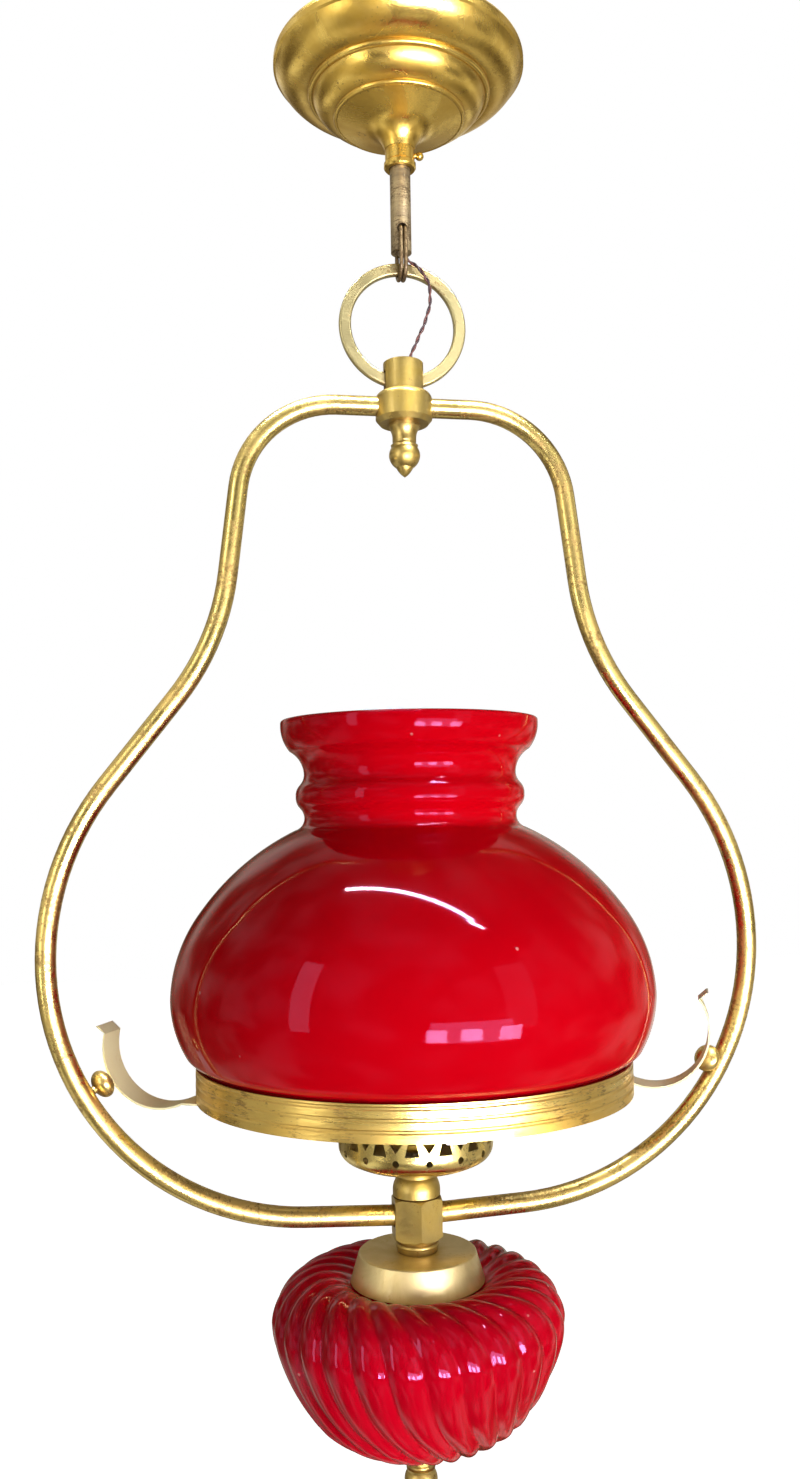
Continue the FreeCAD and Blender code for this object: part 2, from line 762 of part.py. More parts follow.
def make_gallery():
    radius, side, height, wall = (size[name] for name in (
        "gallery_radius", "gallery_side", "gallery_height", "gallery_wall"))
    turned_in, turned_down = radius - 5.2, -8.5 - side
    outer = [(radius, 0), (radius, -side), (turned_in, turned_down, -9.5), (19, -height, -52)]
    hole = size["nipple_radius"] + 0.1
    inner = [(19, wall - height), (turned_in - 0.5, turned_down + 0.9, 51), (radius - wall, -side, 8.5),
             (radius - wall, 0)]
    body = turned("gallery", size["gallery_top"], outer + [(hole, -height), (hole, wall - height)] + inner)

    def upright(sketch):
        draw(sketch, [(-4.3, -20), (4.3, -20), (0, -3)])

    def inverted(sketch):
        draw(sketch, [(0, -18.4), (5.6, -10.4), (-5.6, -10.4)])
        circle_in(sketch, 0, -23.9, 2)

    half_pitch = 180 / SIZES["pierced_repeats"]
    for opening, turn in ((upright, 0), (inverted, half_pitch)):
        cut = cut_through(body, "XZ_Plane", opening, both_sides=False, turn=turn)
        patterned(body, [cut], size["pierced_repeats"])


# ---- lamp holder and bulb -------------------------------------------------------------------------------

def make_lamp_holder():
    nipple = annulus(size["nipple_radius"], size["nipple_bore"], size["nipple_bottom"] - size["nipple_top"])
    turned("hub_nipple", size["nipple_top"], nipple)
    make_nuts("nipple_nuts", [size["lower_hub_top"] - 1.4, size["holder_top"] + size["holder_height"] + 4.1],
              8, 4, size["nipple_radius"] + 0.05)
    radius, height, hole = size["holder_radius"], size["holder_height"], size["nipple_radius"] + 0.1
    outer = [(radius, 0), (radius, 12 - height), (radius - 7, -height, -14)]
    shell = outer + [(hole, -height), (hole, 1 - height), (radius - 8, 1 - height)]
    shell += [(radius - 1, 12 - height, 14)]
    turned("holder_shell", size["holder_top"], shell + [(radius - 1, 0)])
    outside, floor = radius - 1.3, 8 - height
    insulator = [(size["bulb_cap_radius"] + 1.4, 0), (outside, 0), (outside, floor + 3)]
    insulator += [(11, floor), (6, floor)]
    insulator += [(6, floor + 3), (size["bulb_cap_radius"] + 1.4, floor + 3)]
    turned("holder_insulator", size["holder_top"], insulator)
    screw_shell = annulus(size["bulb_cap_radius"] + 1.2, size["bulb_cap_radius"] + 0.4, 20)
    turned("holder_screw_shell", size["holder_top"] + 1.5, screw_shell)
    turned("holder_contact", size["holder_top"] + 25.2, [(0, 0), (4, 0), (5.5, -2), (5.5, -3), (0, -3)])


def make_bulb():
    cap, tall = size["bulb_cap_radius"], size["bulb_cap_height"]
    turned("bulb_cap", size["bulb_cap_top"], [
        (0, -0.1), (cap, -0.1), (cap, 3 - tall), (cap - 4, 0.5 - tall), (4, 0.5 - tall), (4, -tall),
        (0, -tall),
    ])
    radius, height, neck = size["bulb_radius"], size["bulb_height"], cap - 0.6
    outer = [(neck, 0), (neck, 6), (radius, height - radius, -62), (0, height, radius)]
    inner = [(0, height - 1), (radius - 1, height - radius, 1 - radius), (neck - 1, 6, 63)]
    inner += [(neck - 1, 1), (0, 1)]
    turned("bulb_glass", size["bulb_cap_top"], [(0, 0)] + outer + inner)


# ---- lower hub and font ---------------------------------------------------------------------------------

def make_lower_hub():
    """A turned neck and foot with a six-sided block between them, flats towards the tubes."""
    label, hole = "lower_hub", size["nipple_radius"] + 0.05
    body = new_body(label)
    top, block, tall = size["lower_hub_top"], size["block_top"], size["block_height"]
    corner, flat = size["block_corner"], size["block_corner"] * 0.866
    up, down = top - block, top - block - tall
    feature = body.newObject("PartDesign::Pad", "LowerHubBlock")
    sketch = new_sketch(body, "XY_Plane", down)
    feature.Profile = draw(sketch, [
        (0, -corner), (flat, -corner / 2), (flat, corner / 2), (0, corner),
        (-flat, corner / 2), (-flat, -corner / 2),
    ])
    feature.setExpression("Length", tall.text)
    chamfer = size["block_chamfer"]
    for edge, into in ((up, -chamfer), (down, chamfer)):
        groove = body.newObject("PartDesign::Groove", "LowerHubChamfer")
        sketch = draw(new_sketch(body, "XZ_Plane"), [
            (corner + 0.5 - chamfer, edge), (corner + 0.5, edge), (corner + 0.5, edge + into),
        ])
        groove.Profile = sketch
        groove.ReferenceAxis = (sketch, ["V_Axis"])
        groove.Angle = 360
    revolve(body, [
        (hole, 0), (11.3, 0), (11.3, -5), (14.2, up + 4, -12), (14.2, up + 1), (13.2, up), (13.2, down),
        (11.8, down - 2.2),
        (12.6, down - 4.8, -1.6), (12, -size["lower_hub_height"]), (hole, -size["lower_hub_height"]),
    ])
    bore(body, "XY_Plane", 0, 0, hole)
    bore(body, "YZ_Plane", 0, up - tall * 0.45, size["block_bore"])
    keep(label, body, top)


def make_font():
    top, bottom, tall, wall = (size[name] for name in (
        "cap_top_radius", "cap_bottom_radius", "cap_height", "cap_wall"))
    hole = size["rod_hole"]
    turned("font_cap", size["cap_top"], [
        (hole, 0), (top - 0.6, 0), (top, -0.6), (bottom, -tall), (bottom - wall, -tall),
        (top - wall, -wall - 0.6), (hole, -wall - 0.6),
    ])
    mouth, seat, wall = size["glass_mouth_radius"], size["glass_mouth"], size["font_wall"]
    turned("cap_gasket", seat - 2.9, annulus(mouth - 1.6, mouth - 5, 2.8))
    start, widest, foot = size["shoulder_start"], size["font_radius"], size["font_foot"]
    shoulder, middle = seat - size["shoulder_drop"], seat - size["font_widest"]
    low, round_off = seat - size["font_bottom"], size["shoulder_bend"]

    def outside(name):
        return (size[name], seat - size[f"{name}_drop"])

    def inside(name):
        slope, (across, up) = size[f"{name}_slope"], outside(name)
        return (across - wall * cosine(slope), up + wall * sine(slope))

    hip_bend, belly_bend, foot_bend = (size[f"font_{name}_bend"] for name in ("hip", "belly", "foot"))
    turned("font_glass", seat, [
        (mouth, 0), (mouth, shoulder + 2.5), (mouth + 2.5, shoulder, 2.5), (start, shoulder),
        (widest, middle, -round_off), outside("font_hip") + (-hip_bend,),
        outside("font_belly") + (-belly_bend,), outside("font_foot") + (-foot_bend,),
        (foot - 5, low), (4.5, low), (4.5, low + wall), (foot - 6, low + wall), inside("font_foot"),
        inside("font_belly") + (foot_bend - wall,), inside("font_hip") + (belly_bend - wall,),
        (widest - wall, middle, hip_bend - wall), (start + 2.8, shoulder - 3.5, round_off - wall),
        (mouth - wall + 2, shoulder - 3.5), (mouth - wall, shoulder - 1.5), (mouth - wall, 0),
    ])
    rod_top = size["nipple_bottom"] + 6
    rod = [(0, 0), (size["rod_radius"], 0), (size["rod_radius"], rod_top - size["rod_bottom"]),
           (0, rod_top - size["rod_bottom"])]
    turned("font_rod", rod_top, rod)
    turned("bottom_washer", size["font_bottom"] + 0.1, annulus(sized(9), hole, 1))
    finial_drop = size["font_bottom"] + 1.2
    height, deep = size["bottom_finial_height"], size["rod_bottom"] - size["font_bottom"]
    outline = drop_profile(height, hole, 0)[2:]
    turned("bottom_finial", finial_drop, outline + [(0, -0.2 - deep), (hole, -0.2 - deep)])


# ---- shade glass ----------------------------------------------------------------------------------------

def make_shade():
    """The rolled mouth, a waist with one bead round it, a broad round shoulder, and a straight fitting
    edge."""
    mouth, neck, bulge = size["shade_mouth"], size["shade_neck"], size["shade_bulge"]
    widest, base, height = size["shade_radius"], size["shade_base"], size["shade_height"]
    outer = [
        (mouth, 0),
        (mouth, -4),
        (mouth - 5.4, -18.5, -24),
        (neck, -32, 17),
        (neck + 2.5, -39, 9),
        (bulge, -46, -9),
        (neck + 2.5, -53, -9),
        (neck, -58, 9),
        (neck + 5.6, -66.3, 7.5),
        (widest - 18.1, -112.8, -148),
        (widest, -163, -88),
        (widest - 9, -195.6, -64),
        (base + 1, -201.5, -20),
        (base, -204, 4),
        (base, -height),
    ]
    turned("shade_glass", size["shade_top"], outer + back_along(outer, size["shade_wall"], 0))


def write_parts():
    document.recompute()
    failed = [item.Name for item in document.Objects if "Invalid" in item.State or "Error" in item.State]
    if failed:
        raise ValueError(f"failed objects: {failed}")
    for label, item in nodes.items():
        if item.Shape.isNull() or not item.Shape.isValid():
            raise ValueError(f"{label} has no valid shape")
    os.makedirs("parts", exist_ok=True)
    for label, item in nodes.items():
        item.Shape.exportStep(f"parts/{label}.step")
    print(f"{len(nodes)} sub-parts written")


make_crossbar()
make_stem()
upper_nut = size["crossbar_fall"] - size["crossbar_thick"]
lower_nut = size["crossbar_fall"] + size["nut_height"]
make_nuts("stem_nuts", [upper_nut, lower_nut], size["nut_radius"], size["nut_height"],
          size["stem_radius"] + 0.05)
make_canopy()
make_collar()
make_link()
make_ring()
make_flex()
make_top_hub()
turned("drop_finial", size["hub_top"] + size["hub_height"],
       drop_profile(size["finial_height"], size["hub_bore"] - 0.05, 5))
make_harp_tubes()
make_studs()
make_shade_ring()
make_arms()
make_spider()
make_gallery()
make_lamp_holder()
make_bulb()
make_lower_hub()
make_font()
make_shade()
write_parts()
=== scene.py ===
"""The looks of the hanging harp lamp: aged brass, red cased glass, a twisted flex and a white studio.
Metres, +Z up, in the frame's own axes: the ceiling is at zero and the harp lies in the XZ plane."""

import math

import bmesh
import bpy
from mathutils import Matrix, Vector


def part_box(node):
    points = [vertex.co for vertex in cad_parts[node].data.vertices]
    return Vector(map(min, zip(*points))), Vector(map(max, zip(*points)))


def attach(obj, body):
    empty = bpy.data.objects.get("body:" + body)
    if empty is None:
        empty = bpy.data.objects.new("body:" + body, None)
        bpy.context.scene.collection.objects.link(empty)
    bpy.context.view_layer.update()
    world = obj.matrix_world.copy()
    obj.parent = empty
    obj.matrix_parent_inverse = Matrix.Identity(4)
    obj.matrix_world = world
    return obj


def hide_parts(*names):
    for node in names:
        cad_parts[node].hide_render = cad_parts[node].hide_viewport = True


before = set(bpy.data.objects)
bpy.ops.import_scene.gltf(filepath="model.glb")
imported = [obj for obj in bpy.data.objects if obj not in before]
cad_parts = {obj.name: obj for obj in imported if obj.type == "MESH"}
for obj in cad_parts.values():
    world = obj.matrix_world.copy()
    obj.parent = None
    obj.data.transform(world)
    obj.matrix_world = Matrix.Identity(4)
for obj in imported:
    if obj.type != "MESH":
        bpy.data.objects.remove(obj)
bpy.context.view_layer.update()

MM = 0.001

# The camera looks up a little at the lamp from the front, with the harp's left side turned nearer.
CAMERA_DISTANCE = 0.750
CAMERA_HEIGHT = -0.484
CAMERA_YAW = math.radians(9.5)
CAMERA_PITCH = math.radians(3.84)
CAMERA_ROLL = math.radians(0.93)
CAMERA_LENS = 29.94
CAMERA_SHIFT = -0.0062

FLOOR_HEIGHT = -1.30
FLOOR_HALF = 6.0

# Faces that meet at a wider angle than this keep a sharp edge.
SHARP_ANGLE = math.radians(40)

# The flex's control points in millimetres, from just under the stem's mouth down into the harp's neck.
FLEX_ROUTE = [
    (1.5, -1.5, -130.4), (4.2, -3.4, -134.0), (8.6, -5.6, -138.0), (13.2, -6.2, -143.0),
    (16.6, -5.2, -149.2), (17.6, -3.4, -156.6), (16.6, -1.6, -164.4), (14.0, -0.4, -172.4),
    (10.6, 0.2, -180.4), (7.0, 0.2, -188.2), (4.2, 0, -195.6), (3.0, 0, -203.0),
]


# ---- camera, lights, floor ------------------------------------------------------------------------------

def add_object(name, data):
    item = bpy.data.objects.new(name, data)
    bpy.context.scene.collection.objects.link(item)
    return item


def add_camera():
    data = bpy.data.cameras.new("camera")
    data.lens = CAMERA_LENS
    data.shift_x = CAMERA_SHIFT
    data.clip_start = 0.01
    data.clip_end = 60
    camera = add_object("camera", data)
    level = Vector((math.sin(CAMERA_YAW), math.cos(CAMERA_YAW), 0))
    upright = Vector((0, 0, 1))
    forward = level * math.cos(CAMERA_PITCH) + upright * math.sin(CAMERA_PITCH)
    right = forward.cross(upright).normalized()
    up = right.cross(forward)
    turned_right = right * math.cos(CAMERA_ROLL) - up * math.sin(CAMERA_ROLL)
    turned_up = right * math.sin(CAMERA_ROLL) + up * math.cos(CAMERA_ROLL)
    axes = Matrix((turned_right, turned_up, -forward)).transposed().to_4x4()
    place = -level * CAMERA_DISTANCE + Vector((0, 0, CAMERA_HEIGHT))
    camera.matrix_world = Matrix.Translation(place) @ axes
    bpy.context.scene.camera = camera


def add_light(name, place, aim, size, power, colour=(1, 1, 1), long_axis=None, mirrored=True):
    """A rectangular light. The long axis is the way its width runs. A mirrored light is only seen as a
    highlight, and any other only gives soft light."""
    data = bpy.data.lights.new(name, "AREA")
    data.shape = "RECTANGLE"
    data.size, data.size_y = size
    data.energy = power
    data.color = colour
    light = add_object(name, data)
    back = (Vector(place) - Vector(aim)).normalized()
    across = Vector(long_axis) if long_axis else Vector((0, 0, 1)).cross(back)
    across = (across - back * across.dot(back)).normalized()
    axes = Matrix((across, back.cross(across), back)).transposed().to_4x4()
    light.matrix_world = Matrix.Translation(place) @ axes
    light.visible_glossy = mirrored
    light.visible_diffuse = not mirrored


def add_lights():
    shade = (0, 0, -0.55)
    add_light("key", (0.80, -1.6, -0.90), shade, (1.0, 1.0), 37, (1, 0.98, 0.95), mirrored=False)
    add_light("fill", (-1.6, -1.1, -0.5), shade, (1.2, 1.6), 5, (1, 0.96, 0.98), mirrored=False)
    add_light("overhead", (0.35, -0.9, 1.3), shade, (1.5, 0.9), 2, (1, 0.96, 0.9), mirrored=False)
    add_light("tube_light", (0.0, -0.33, 0.86), shade, (1.44, 0.035), 85, long_axis=(1.23, -0.76, -0.18))
    panes = [
        ((0.00, -1.58, -1.00), (0.24, 0.34)),
        ((0.40, -1.50, -0.98), (0.24, 0.30)),
        ((0.80, -1.27, -0.94), (0.26, 0.34)),
    ]
    for number, (place, size) in enumerate(panes):
        add_light(f"window_{number}", place, shade, size, 13, (1, 0.96, 1))
    add_light("window_frame", (0.44, -1.62, -0.92), shade, (1.10, 0.62), 24, (0.9, 0.82, 1))
    add_light("soft_right", (1.15, -1.5, -0.25), shade, (0.5, 1.5), 3.5, (1, 0.97, 0.9))
    add_light("soft_left", (-1.5, -0.9, -0.25), shade, (0.3, 1.5), 8, (1, 0.95, 0.85))


def add_world():
    """White to the eye. The glossy pieces see a warm room with light and dark places, and the rest of the
    light is dim and comes mostly from below."""
    world = bpy.data.worlds.new("studio")
    bpy.context.scene.world = world
    world.use_nodes = True
    tree = world.node_tree
    tree.nodes["Background"].inputs["Color"].default_value = (1, 1, 1, 1)
    tree.nodes["Background"].inputs["Strength"].default_value = 1.0
    way = tree.nodes.new("ShaderNodeTexCoord").outputs["Generated"]
    places = tree.nodes.new("ShaderNodeTexNoise")
    tree.links.new(way, places.inputs["Vector"])
    places.inputs["Scale"].default_value = 2.3
    places.inputs["Detail"].default_value = 2.0
    tones = tree.nodes.new("ShaderNodeValToRGB")
    tree.links.new(places.outputs["Fac"], tones.inputs["Fac"])
    set_stops(tones, [
        (0.36, (0.06, 0.04, 0.02)),
        (0.48, (0.24, 0.20, 0.14)),
        (0.60, (0.80, 0.75, 0.62)),
        (0.72, (1.15, 1.12, 1.02)),
    ])
    room = tree.nodes.new("ShaderNodeBackground")
    tree.links.new(tones.outputs["Color"], room.inputs["Color"])
    dim = tree.nodes.new("ShaderNodeBackground")
    apart = tree.nodes.new("ShaderNodeSeparateXYZ")
    tree.links.new(way, apart.inputs[0])
    heights = tree.nodes.new("ShaderNodeValToRGB")
    tree.links.new(apart.outputs["Z"], heights.inputs["Fac"])
    set_stops(heights, [(0.0, (0.26, 0.25, 0.25)), (0.35, (0.10, 0.09, 0.09)), (0.8, (0.02, 0.02, 0.02))])
    tree.links.new(heights.outputs["Color"], dim.inputs["Color"])
    path = tree.nodes.new("ShaderNodeLightPath")
    shown = dim.outputs["Background"]
    for ray, other in (("Is Glossy Ray", room), ("Is Camera Ray", tree.nodes["Background"])):
        pick = tree.nodes.new("ShaderNodeMixShader")
        tree.links.new(path.outputs[ray], pick.inputs["Fac"])
        tree.links.new(shown, pick.inputs[1])
        tree.links.new(other.outputs["Background"], pick.inputs[2])
        shown = pick.outputs["Shader"]
    tree.links.new(shown, tree.nodes["World Output"].inputs["Surface"])


def add_floor():
    mesh = bpy.data.meshes.new("floor")
    signs = [(-1, -1), (1, -1), (1, 1), (-1, 1)]
    corners = [(x * FLOOR_HALF, y * FLOOR_HALF, FLOOR_HEIGHT) for x, y in signs]
    mesh.from_pydata(corners, [], [(0, 1, 2, 3)])
    floor = add_object("floor", mesh)
    paint = bpy.data.materials.new("floor_paint")
    paint.use_nodes = True
    shader = paint.node_tree.nodes["Principled BSDF"]
    shader.inputs["Base Color"].default_value = (0.92, 0.92, 0.92, 1)
    shader.inputs["Roughness"].default_value = 0.9
    shader.inputs["Emission Color"].default_value = (1, 1, 1, 1)
    shader.inputs["Emission Strength"].default_value = 1.0
    mesh.materials.append(paint)
    floor.visible_glossy = False
    floor.visible_diffuse = False


# ---- shader building ------------------------------------------------------------------------------------

def set_stops(ramp, stops):
    """Gives a colour ramp its (position, colour) stops."""
    elements = ramp.color_ramp.elements
    while len(elements) > 1:
        elements.remove(elements[-1])
    for number, (position, colour) in enumerate(stops):
        element = elements[0] if number == 0 else elements.new(position)
        element.position = position
        element.color = (*colour, 1)


class Paint:
    """One material under construction: its nodes are made and linked by these short calls."""

    def __init__(self, name):
        self.material = bpy.data.materials.new(name)
        self.material.use_nodes = True
        self.tree = self.material.node_tree
        self.shader = self.tree.nodes["Principled BSDF"]
        self.place = self.node("ShaderNodeTexCoord").outputs["Object"]

    def node(self, kind, settings=None, **choices):
        made = self.tree.nodes.new(kind)
        for key, choice in choices.items():
            setattr(made, key, choice)
        for key, setting in (settings or {}).items():
            self.put(made, key, setting)
        return made

    def put(self, node, key, setting):
        if isinstance(setting, bpy.types.NodeSocket):
            self.tree.links.new(setting, node.inputs[key])
        else:
            node.inputs[key].default_value = setting

    def noise(self, scale, detail=4, roughness=0.6, stretch=None, distortion=0):
        place = self.place if stretch is None else self.stretched(stretch)
        made = self.node("ShaderNodeTexNoise", {"Vector": place, "Scale": scale, "Detail": detail,
                                                "Roughness": roughness, "Distortion": distortion})
        return made.outputs["Fac"]

    def stretched(self, stretch):
        return self.node("ShaderNodeMapping", {"Vector": self.place, "Scale": stretch}).outputs["Vector"]

    def span(self, value, low, high, to_low=0.0, to_high=1.0):
        made = self.node("ShaderNodeMapRange", {"Value": value, "From Min": low, "From Max": high,
                                                "To Min": to_low, "To Max": to_high})
        return made.outputs["Result"]

    def maths(self, operation, first, second):
        made = self.node("ShaderNodeMath", {0: first, 1: second}, operation=operation, use_clamp=True)
        return made.outputs[0]

    def mix(self, factor, first, second):
        made = self.node("ShaderNodeMix", data_type="RGBA")
        self.put(made, 0, factor)
        for index, colour in ((6, first), (7, second)):
            self.put(made, index, colour if isinstance(colour, bpy.types.NodeSocket) else (*colour, 1))
        return made.outputs[2]

    def bump(self, height, strength, distance, normal=None):
        settings = {"Height": height, "Strength": strength, "Distance": distance}
        if normal is not None:
            settings["Normal"] = normal
        return self.node("ShaderNodeBump", settings).outputs["Normal"]

    def hollows(self, reach):
        """One in the open and less in corners and grooves."""
        made = self.node("ShaderNodeAmbientOcclusion", {"Distance": reach}, samples=6)
        return made.outputs["AO"]

    def set(self, **settings):
        for key, setting in settings.items():
            self.put(self.shader, key.replace("_", " "), setting)
        return self.material


# ---- materials ------------------------------------------------------------------------------------------

def brass(name, bright, dull, tarnish_and_shade, wear, shine, grain=(1, 1, 1), spots=0.58, pits=0.25,
          reach=0.007, metal=1.0):
    """Aged brass: clouds of duller metal, brown spots, fine pits, and corners darkened towards the tarnish
    colour, which is part grime and part painted shade. Wear is how much is dull, shine the roughness of
    the clean metal, grain the stretch of the marks, spots the level where spotting begins, and reach how
    far in metres the painted corner shade reaches."""
    paint = Paint(name)
    clouds = paint.noise(26, 5, 0.62, grain, 0.6)
    cloudy = paint.span(clouds, 0.62 - wear * 0.35, 0.82 - wear * 0.2)
    speckle = paint.noise(420, 5, 0.75, grain)
    patches = paint.noise(60, 3, 0.5)
    patchy = paint.span(patches, 0.3, 0.7, 0.75, 1.25)
    spotted = paint.span(paint.maths("MULTIPLY", speckle, patchy), spots, spots + 0.09)
    # Painted shade, partly grime: the occlusion mask darkens corners, grooves and joints between parts.
    corners = paint.span(paint.hollows(reach), 0.35, 0.95, 1.0, 0.0)
    colour = paint.mix(cloudy, bright, dull)
    colour = paint.mix(paint.maths("MULTIPLY", spotted, 0.75), colour, tarnish_and_shade)
    # The corner mask mixes the tarnish colour in as painted shade and grime.
    colour = paint.mix(paint.maths("MULTIPLY", corners, 0.8), colour, tarnish_and_shade)
    dirt_and_corner_shade = paint.maths("ADD", cloudy, paint.maths("ADD", spotted, corners))
    rough = paint.span(dirt_and_corner_shade, 0, 1, shine, shine + 0.22)
    relief = paint.bump(paint.noise(260, 4, 0.6, grain), pits, 0.0004)
    relief = paint.bump(speckle, pits * 0.8, 0.0003, relief)
    return paint.set(Base_Color=colour, Metallic=metal, Roughness=rough, Normal=relief, Coat_Weight=0.35,
                     Coat_Roughness=0.2)


def red_glass(name, body, deep, edge, gloss, painted_sheen):
    """Cased red glass: a deep red that drifts a little, faint seeds, and a painted pale sheen at its
    outline.
    """
    paint = Paint(name)
    drift = paint.span(paint.noise(7, 3, 0.5), 0.3, 0.7)
    colour = paint.mix(drift, body, deep)
    cells = paint.node("ShaderNodeTexVoronoi", {"Vector": paint.place, "Scale": 95.0, "Randomness": 1.0})
    lots = paint.node("ShaderNodeSeparateColor", {0: cells.outputs["Color"]}).outputs[0]
    chosen = paint.span(lots, 0.93, 0.94)
    seed = paint.maths("MULTIPLY", paint.span(cells.outputs["Distance"], 0.05, 0.11, 1.0, 0.0), chosen)
    colour = paint.mix(paint.maths("MULTIPLY", seed, 0.55), colour, (0.95, 0.45, 0.42))
    # Painted sheen: the pale edge colour is mixed into the base colour where the surface turns away from
    # the eye.
    facing = paint.node("ShaderNodeLayerWeight", {"Blend": 0.5}).outputs["Facing"]
    sheen = paint.span(facing, 0.88, 1.0)
    sheen = paint.maths("MULTIPLY", sheen, sheen)
    colour = paint.mix(paint.maths("MULTIPLY", sheen, painted_sheen), colour, edge)
    ripple = paint.bump(paint.noise(22, 2, 0.4), 0.06, 0.002)
    relief = paint.bump(seed, 0.4, 0.0006, ripple)
    return paint.set(Base_Color=colour, Roughness=0.045, Normal=relief, Specular_IOR_Level=gloss,
                     Specular_Tint=(0.85, 0.45, 1, 1), IOR=1.5)


def opal_glass():
    """The white casing inside the shade."""
    paint = Paint("opal_casing")
    milky = paint.mix(paint.span(paint.noise(12, 3), 0.35, 0.65), (0.86, 0.80, 0.76), (0.80, 0.70, 0.66))
    return paint.set(Base_Color=milky, Roughness=0.12, Specular_IOR_Level=0.4)


def sleeve(name, light, dark):
    """The braided sleeve of one core of the flex."""
    paint = Paint(name)
    weave = paint.noise(2600, 2, 0.5)
    colour = paint.mix(paint.span(weave, 0.35, 0.65), dark, light)
    rough = paint.span(weave, 0.3, 0.7, 0.45, 0.7)
    return paint.set(Base_Color=colour, Roughness=rough, Normal=paint.bump(weave, 0.5, 0.0002))


def plated_steel():
    paint = Paint("plated_steel")
    bloom = paint.noise(55, 5, 0.7)
    colour = paint.mix(paint.span(bloom, 0.35, 0.7), (0.60, 0.59, 0.57), (0.36, 0.33, 0.29))
    rough = paint.span(bloom, 0.3, 0.75, 0.32, 0.6)
    relief = paint.bump(bloom, 0.2, 0.0003)
    return paint.set(Base_Color=colour, Metallic=1.0, Roughness=rough, Normal=relief)


def ceramic():
    paint = Paint("holder_ceramic")
    tone = paint.noise(80, 3)
    colour = paint.mix(paint.span(tone, 0.3, 0.7), (0.83, 0.80, 0.73), (0.74, 0.70, 0.62))
    return paint.set(Base_Color=colour, Roughness=paint.span(tone, 0, 1, 0.25, 0.4))


def frosted_glass():
    paint = Paint("lamp_glass")
    frost = paint.noise(900, 3)
    colour = paint.mix(paint.span(frost, 0.3, 0.7), (0.92, 0.91, 0.88), (0.84, 0.83, 0.80))
    relief = paint.bump(frost, 0.1, 0.0001)
    return paint.set(Base_Color=colour, Roughness=paint.span(frost, 0, 1, 0.3, 0.5), Normal=relief)


def fibre():
    paint = Paint("gasket_fibre")
    strand = paint.noise(700, 5, 0.7)
    colour = paint.mix(strand, (0.05, 0.045, 0.04), (0.13, 0.11, 0.09))
    return paint.set(Base_Color=colour, Roughness=paint.span(strand, 0, 1, 0.75, 0.95))


GOLD = (0.80, 0.64, 0.22)
# Painted highlight: the pale gold of the spring arms stands in for the strong light on them.
PALE_GOLD_HIGHLIGHT = (0.92, 0.82, 0.46)
OLD_GOLD = (0.56, 0.40, 0.09)
BROWN = (0.20, 0.11, 0.035)
GREY_BROWN = (0.30, 0.24, 0.15)
UMBER = (0.10, 0.06, 0.025)


def make_materials():
    return {
        "canopy_brass": brass("canopy_brass", (0.95, 0.68, 0.17), (0.72, 0.46, 0.07), BROWN, 0.75, 0.2,
                              spots=0.66, pits=0.3),
        "tube_brass": brass("tube_brass", GOLD, (0.66, 0.46, 0.15), BROWN, 0.6, 0.22,
                            spots=0.53, pits=0.35),
        "stem_brass": brass("stem_brass", (0.66, 0.54, 0.32), GREY_BROWN, UMBER, 0.95, 0.38,
                            grain=(1, 1, 2.6), spots=0.50, pits=0.7),
        "ring_brass": brass("ring_brass", (0.52, 0.46, 0.24), (0.40, 0.34, 0.16), BROWN, 0.6, 0.34,
                            spots=0.62),
        "hub_brass": brass("hub_brass", (0.58, 0.44, 0.15), (0.42, 0.30, 0.06), BROWN, 0.7, 0.3,
                           spots=0.64, pits=0.4),
        "band_brass": brass("band_brass", (0.88, 0.66, 0.20), (0.70, 0.46, 0.10), BROWN, 0.7, 0.24,
                            grain=(0.35, 0.35, 2.2), spots=0.58, pits=0.3),
        # The gallery's near-black tarnish colour, spread 28 mm by the corner mask, paints shade into the
        # pierced bowl and darkens its spots.
        "gallery_brass": brass("gallery_brass", GOLD, (0.66, 0.50, 0.16), (0.05, 0.03, 0.012), 0.5, 0.24,
                               spots=0.64, pits=0.2, reach=0.028),
        "satin_brass": brass("satin_brass", (0.78, 0.65, 0.34), (0.62, 0.50, 0.23), OLD_GOLD, 0.6, 0.38,
                             spots=0.66),
        # The spring arms: pale polished brass painted near white as a painted highlight, with little metal
        # so the key light falls on them.
        "spring_brass_painted_highlight": brass("spring_brass_painted_highlight", (1.0, 0.96, 0.60), (0.98, 0.92, 0.52), PALE_GOLD_HIGHLIGHT, 0.3, 0.34,
                              spots=0.7, pits=0.1, metal=0.1),
        "link_brass": brass("link_brass", (0.40, 0.31, 0.17), (0.20, 0.14, 0.08), UMBER, 0.95, 0.40,
                            spots=0.5),
        "thin_brass": brass("thin_brass", (0.80, 0.62, 0.28), OLD_GOLD, BROWN, 0.4, 0.30, spots=0.66),
        # The shade's third colour is the pale colour of its painted sheen; the font's painted sheen is
        # off.
        "shade_red": red_glass("shade_red", (0.60, 0.0, 0.006), (0.55, 0.0, 0.006), (0.62, 0.32, 0.56),
                               gloss=0.09, painted_sheen=0.9),
        "font_red": red_glass("font_red", (0.62, 0.0, 0.014), (0.48, 0.0, 0.010), (0.62, 0.05, 0.22),
                              gloss=0.24, painted_sheen=0.0),
        "opal_casing": opal_glass(),
        "plated_steel": plated_steel(),
        "holder_ceramic": ceramic(),
        "lamp_glass": frosted_glass(),
        "gasket_fibre": fibre(),
        "flex_brown": sleeve("flex_brown", (0.30, 0.09, 0.07), (0.12, 0.03, 0.03)),
        "flex_dark": sleeve("flex_dark", (0.12, 0.05, 0.07), (0.04, 0.02, 0.03)),
    }


